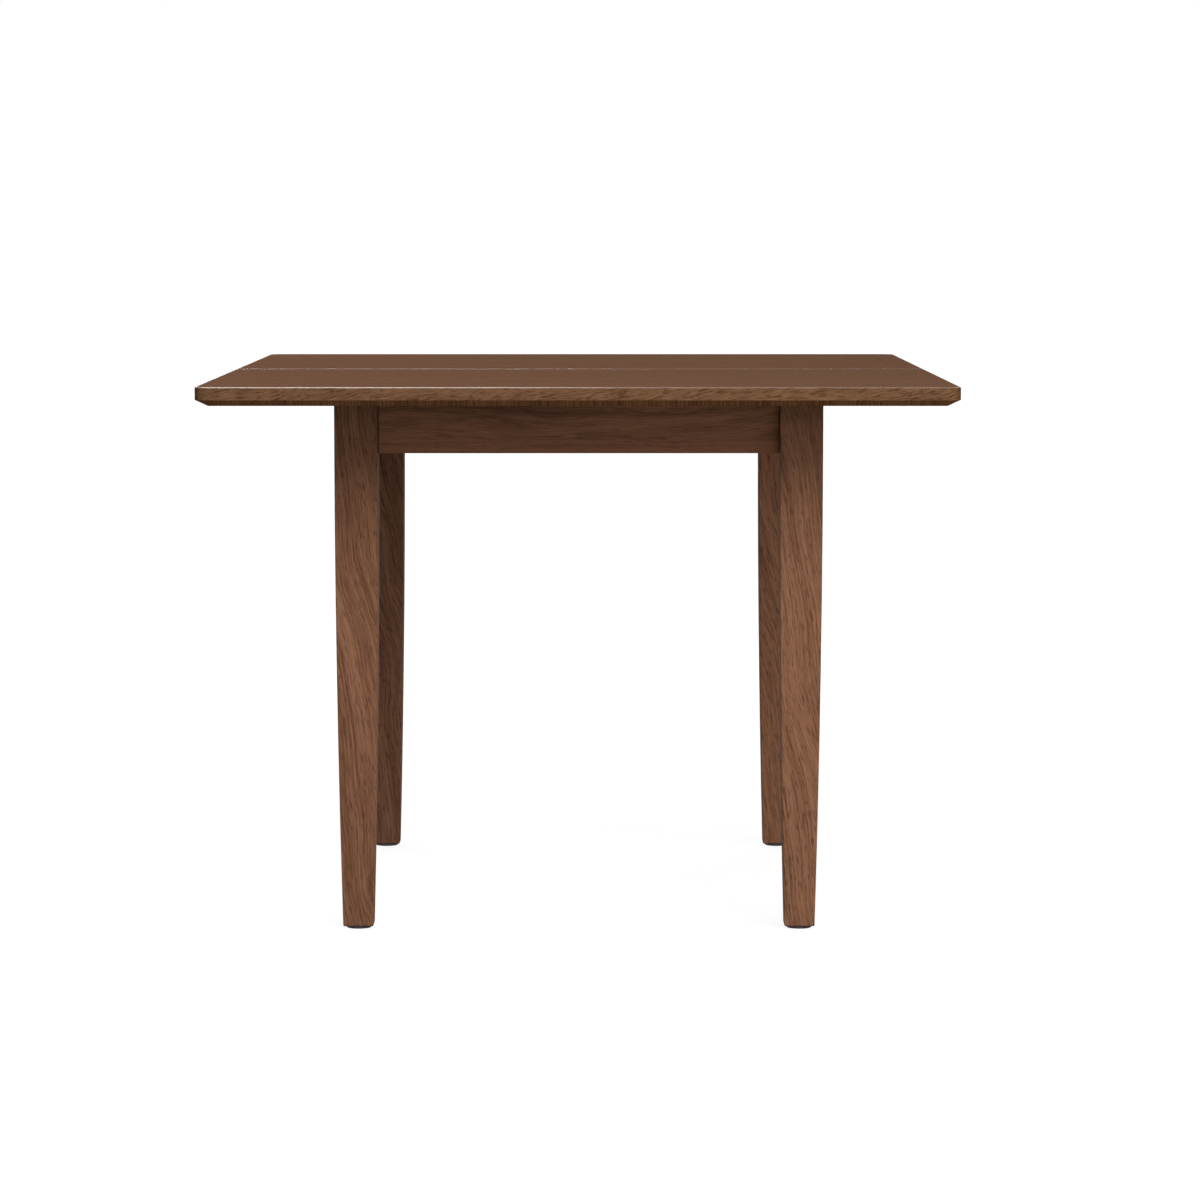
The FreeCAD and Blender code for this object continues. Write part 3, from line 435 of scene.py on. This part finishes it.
def top_walnut(name, seed):
    """The top: a smooth satin face, long fibres on its ends, end grain on its sides, close stripes below."""
    tree = new_material(name)
    u, v, w = grain_space(tree, x_axis, y_axis, z_axis, seed)
    share, pores, height = walnut(tree, u, v, w, seed, **top_board)
    face = tree.darken(tree.mix(share, top_light, top_dark), pores, top_pore_dark)

    x, y, z = tree.parts(tree.place())
    nx, ny, nz = tree.normal()
    sideways = tree.step(tree.math("SUBTRACT", tree.math("ABSOLUTE", nx), tree.math("ABSOLUTE", ny)),
                         side_from)
    edge = tree.mix(sideways, edge_colour(tree, x, y, z, seed), end_colour(tree, y, z, seed))
    colour = tree.mix(tree.step(nz, face_from), edge, face)
    colour = tree.mix(tree.step(nz, bevel_from), colour, bevel_colour(tree, x, y, z, sideways))
    colour = tree.mix(tree.step(nz, underside_from), colour, face)
    arris = tree.math("MULTIPLY", tree.step(nz, arris_from), tree.step(nz, arris_to, (1.0, 0.0)))
    # Painted highlight: the arris's colour is mixed a little toward a pale colour
    colour = tree.mix(tree.math("MULTIPLY", arris, arris_highlight_share), colour, arris_painted_highlight)
    rough = tree.step(nz, face_gloss_from, (edge_roughness, face_roughness))
    return tree.finish(colour, rough, tree.bump(height, top_wood_depth, top_wood_bump),
                       Specular_IOR_Level=0.0, Coat_Weight=tree.math("MULTIPLY", arris, arris_coat),
                       Coat_Roughness=arris_coat_roughness)


def apron_walnut(name, along, through, seed, half_length):
    """An apron: dark flat-sawn figure, a straight-grained lighter strip below, painted shade in the corner at
    each leg.
    """
    tree = new_material(name)
    u, v, w = grain_space(tree, along, z_axis, through, seed)
    share, pores, height = walnut(tree, u, v, w, seed, **apron_board)
    upper = tree.mix(share, apron_light, apron_dark)
    streaks = tree.total(strip_weights, streaks=stretched(tree, u, v, w, strip_grain))
    lower = tree.mix(tree.step(streaks), strip_light, apron_dark)
    split = apron_bottom + strip_height
    colour = tree.mix(tree.step(u, (split - strip_blur, split + strip_blur)), lower, upper)
    colour = tree.darken(colour, pores, apron_pore_dark)
    # Painted shade: each end of the apron is darkened where it meets a leg, in the corner's shade
    off_middle = tree.math("ABSOLUTE", tree.math("SUBTRACT", v, seed_shift_along * seed))
    line = tree.step(off_middle, (half_length - corner_shade_width, half_length - corner_shade_width / 2),
                     (1.0, corner_shade_dark))
    return tree.finish(tree.scale(colour, line), apron_roughness, tree.bump(height, wood_depth),
                       Specular_IOR_Level=apron_gloss)


def beech(name, along, across, seed):
    """Unfinished beech."""
    tree = new_material(name)
    u, v, w = grain_space(tree, along, across, z_axis, seed)
    ring = ring_place(tree, u, v, w, seed, 0.0, beech_warp, beech_pith)[1]
    threads = stretched(tree, u, v, w, beech_threads)
    share = tree.total(beech_weights, rings=stretched(tree, ring, v, 0.0, beech_rings), threads=threads)
    colour = tree.mix(tree.step(share), beech_light, beech_dark)
    flecks = tree.step(stretched(tree, u, v, w, ray_flecks), ray_limits)
    colour = tree.mix(tree.math("MULTIPLY", flecks, ray_share), colour, ray_colour)
    return tree.finish(colour, beech_roughness, tree.bump(threads, wood_depth),
                       Specular_IOR_Level=beech_gloss)


def metal(name, colour, roughness, drawn=(1.0, 1.0, 1.0)):
    """Metal with fine brushing and slight stains."""
    tree = new_material(name)
    place = tree.add("ShaderNodeVectorMath", {0: tree.place(), 1: drawn}, operation="MULTIPLY").outputs[0]
    brush = tree.noise(place, metal_brush)
    tone = tree.total(metal_stain_weights, stains=tree.noise(tree.place(), metal_stains))
    rough = tree.math("MULTIPLY_ADD", brush, metal_brush_spread, roughness - metal_brush_spread / 2)
    return tree.finish(tree.scale(colour, tone), rough,
                       tree.bump(brush, metal_brush_depth, metal_brush_bump), Metallic=1.0)


def plastic(name, colour, roughness, grain=plastic_grain, depth=plastic_grain_depth):
    """Moulded plastic with a fine spark-eroded grain."""
    tree = new_material(name)
    bumps = tree.noise(tree.place(), grain)
    tone = tree.total(plastic_cloud_weights, clouds=tree.noise(tree.place(), plastic_clouds))
    rough = tree.math("MULTIPLY_ADD", bumps, plastic_grain_spread, roughness - plastic_grain_spread / 2)
    return tree.finish(tree.scale(colour, tone), rough, tree.bump(bumps, depth),
                       Specular_IOR_Level=plastic_gloss)


def felt(name, colour):
    """Pressed felt."""
    tree = new_material(name)
    fibres = tree.noise(tree.place(), felt_fibres)
    tone = tree.total(felt_weights, fibres=fibres, clumps=tree.noise(tree.place(), felt_clumps))
    return tree.finish(tree.scale(colour, tone), felt_roughness, tree.bump(fibres, felt_depth, felt_bump),
                       Sheen_Weight=felt_sheen, Specular_IOR_Level=felt_gloss)


def dress(node, material):
    """Gives a node its material in every slot."""
    data = frame["nodes"][node].data
    data.materials.clear()
    data.materials.append(material)


def dress_top():
    for half, seed in top_seeds.items():
        dress("top_" + half, top_walnut("walnut_top_" + half, seed))


def dress_legs():
    # Painted light and shade: each leg's colours are scaled by its corner's tone
    for corner, tone, seed in zip(corners, leg_painted_light_tones, leg_seeds):
        light, dark = ([tone * part for part in colour] for colour in (leg_light, leg_dark))
        dress("leg_" + corner, oiled_walnut("walnut_leg_" + corner, z_axis, x_axis, y_axis,
                                            light, dark, seed, leg_board))


def dress_aprons():
    for side, seed in apron_seeds.items():
        if side in ("front", "rear"):
            along, through, half_length = x_axis, y_axis, -leg_inner.x
        else:
            along, through, half_length = y_axis, x_axis, -leg_inner.y
        dress("apron_" + side, apron_walnut("walnut_apron_" + side, along, through, seed, half_length))


def dress_leaf():
    for panel, seed in leaf_seeds.items():
        dress("leaf_panel_" + panel, oiled_walnut("walnut_leaf_panel_" + panel, x_axis, y_axis, z_axis,
                                                  top_light, top_dark, seed, leaf_board))


def dress_inner_wood():
    across_table = beech("beech_across", x_axis, y_axis, beech_seeds["across"])
    along_table = beech("beech_along", y_axis, x_axis, beech_seeds["along"])
    for node in ("bearer_front", "bearer_rear", *("corner_block_" + corner for corner in corners)):
        dress(node, across_table)
    for node in ("cleat_left", "cleat_right", "alignment_pins", "leaf_alignment_pins"):
        dress(node, along_table)


def dress_slides():
    aluminium = metal("aluminium_drawn", aluminium_colour, aluminium_roughness, drawn_along_y)
    acetal = plastic("acetal_white", acetal_colour, acetal_roughness)
    for side in ("left", "right"):
        for node in ("slide_rail_", "runner_front_", "runner_rear_"):
            dress(node + side, aluminium)
        for node in ("rack_front_", "rack_rear_", "pinion_"):
            dress(node + side, acetal)
    dress("rail_end_stops", plastic("stop_black", stop_colour, stop_roughness))


def dress_hardware():
    zinc = metal("steel_zinc", zinc_colour, zinc_roughness)
    for row in frame["record"]["subparts"]:
        if row["material_slot"] == "steel":
            dress(row["node"], zinc)
    brass = metal("brass_satin", brass_colour, brass_roughness)
    for node in ("leaf_hinge_plates", "leaf_hinge_links"):
        dress(node, brass)


def dress_feet():
    rubber = plastic("glide_dark", glide_colour, glide_roughness, glide_grain, glide_grain_depth)
    for corner in corners:
        dress("glide_" + corner, rubber)
    dress("frame_pads", felt("felt_grey", felt_colour))


def seen_directly(tree):
    """1 for what the camera and reflections look at, and 0 for the light that falls on things."""
    path = tree.add("ShaderNodeLightPath").outputs
    return tree.math("MAXIMUM", path["Is Camera Ray"],
                     tree.math("MAXIMUM", path["Is Glossy Ray"], path["Is Transmission Ray"]))


def make_floor():
    """A wide pale floor that the camera sees as white, and that keeps a faint shadow."""
    mesh = bpy.data.meshes.new("floor")
    mesh.from_pydata([(-floor_half, -floor_half, 0), (floor_half, -floor_half, 0),
                      (floor_half, floor_half, 0), (-floor_half, floor_half, 0)], [], [(0, 1, 2, 3)])
    floor = bpy.data.objects.new("floor", mesh)
    bpy.context.scene.collection.objects.link(floor)
    tree = new_material("floor_white")
    pale = tree.add("ShaderNodeBsdfDiffuse", {"Color": floor_colour})
    away = tree.add("ShaderNodeVectorMath", {0: tree.place()}, operation="LENGTH").outputs["Value"]
    level = tree.math("MULTIPLY", seen_directly(tree), tree.step(away, floor_fade, (floor_white, 1.0)))
    glow = tree.add("ShaderNodeEmission", {"Color": white, "Strength": level})
    both = tree.add("ShaderNodeAddShader", {0: pale.outputs[0], 1: glow.outputs[0]})
    tree.add("ShaderNodeOutputMaterial", {0: both.outputs[0]})
    mesh.materials.append(tree.owner)


def make_world():
    """White where the camera or a reflection looks, and a soft even light elsewhere."""
    tree = Tree(bpy.data.worlds.new("studio"))
    level = tree.add("ShaderNodeMapRange", {0: seen_directly(tree), 3: world_level, 4: 1.0}).outputs[0]
    background = tree.add("ShaderNodeBackground", {"Color": white, "Strength": level})
    tree.add("ShaderNodeOutputWorld", {0: background.outputs[0]})
    bpy.context.scene.world = tree.owner


def make_lamp(name, lamp):
    """A soft rectangular lamp that faces its target."""
    data = bpy.data.lights.new(name, "AREA")
    data.shape = "RECTANGLE"
    data.size, data.size_y = lamp.size
    data.energy = lamp.power
    light = bpy.data.objects.new(name, data)
    bpy.context.scene.collection.objects.link(light)
    light.visible_camera = False
    light.location = lamp.place
    aim = Vector(lamp.target) - Vector(lamp.place)
    light.rotation_euler = aim.to_track_quat("-Z", "Y").to_euler()
    return light


def make_lamps():
    for name, lamp in lamps.items():
        make_lamp(name, lamp)
    tops = bpy.data.collections.new("gleam_on")
    for half in top_seeds:
        tops.objects.link(frame["nodes"]["top_" + half])
    for name, lamp in gleams.items():
        gleam = make_lamp(name, lamp)
        gleam.visible_diffuse = False
        gleam.light_linking.receiver_collection = tops


def make_camera():
    data = bpy.data.cameras.new("view")
    data.sensor_width = sensor_mm
    data.lens = camera_lens_mm
    data.clip_end = camera_reach
    camera = bpy.data.objects.new("view", data)
    bpy.context.scene.collection.objects.link(camera)
    camera.location = camera_place
    camera.rotation_euler = (math.pi / 2 - camera_pitch, 0, 0)
    bpy.context.scene.camera = camera


dress_top()
dress_legs()
dress_aprons()
dress_leaf()
dress_inner_wood()
dress_slides()
dress_hardware()
dress_feet()
make_floor()
make_world()
make_lamps()
make_camera()
bpy.context.scene.view_settings.view_transform = "Standard"
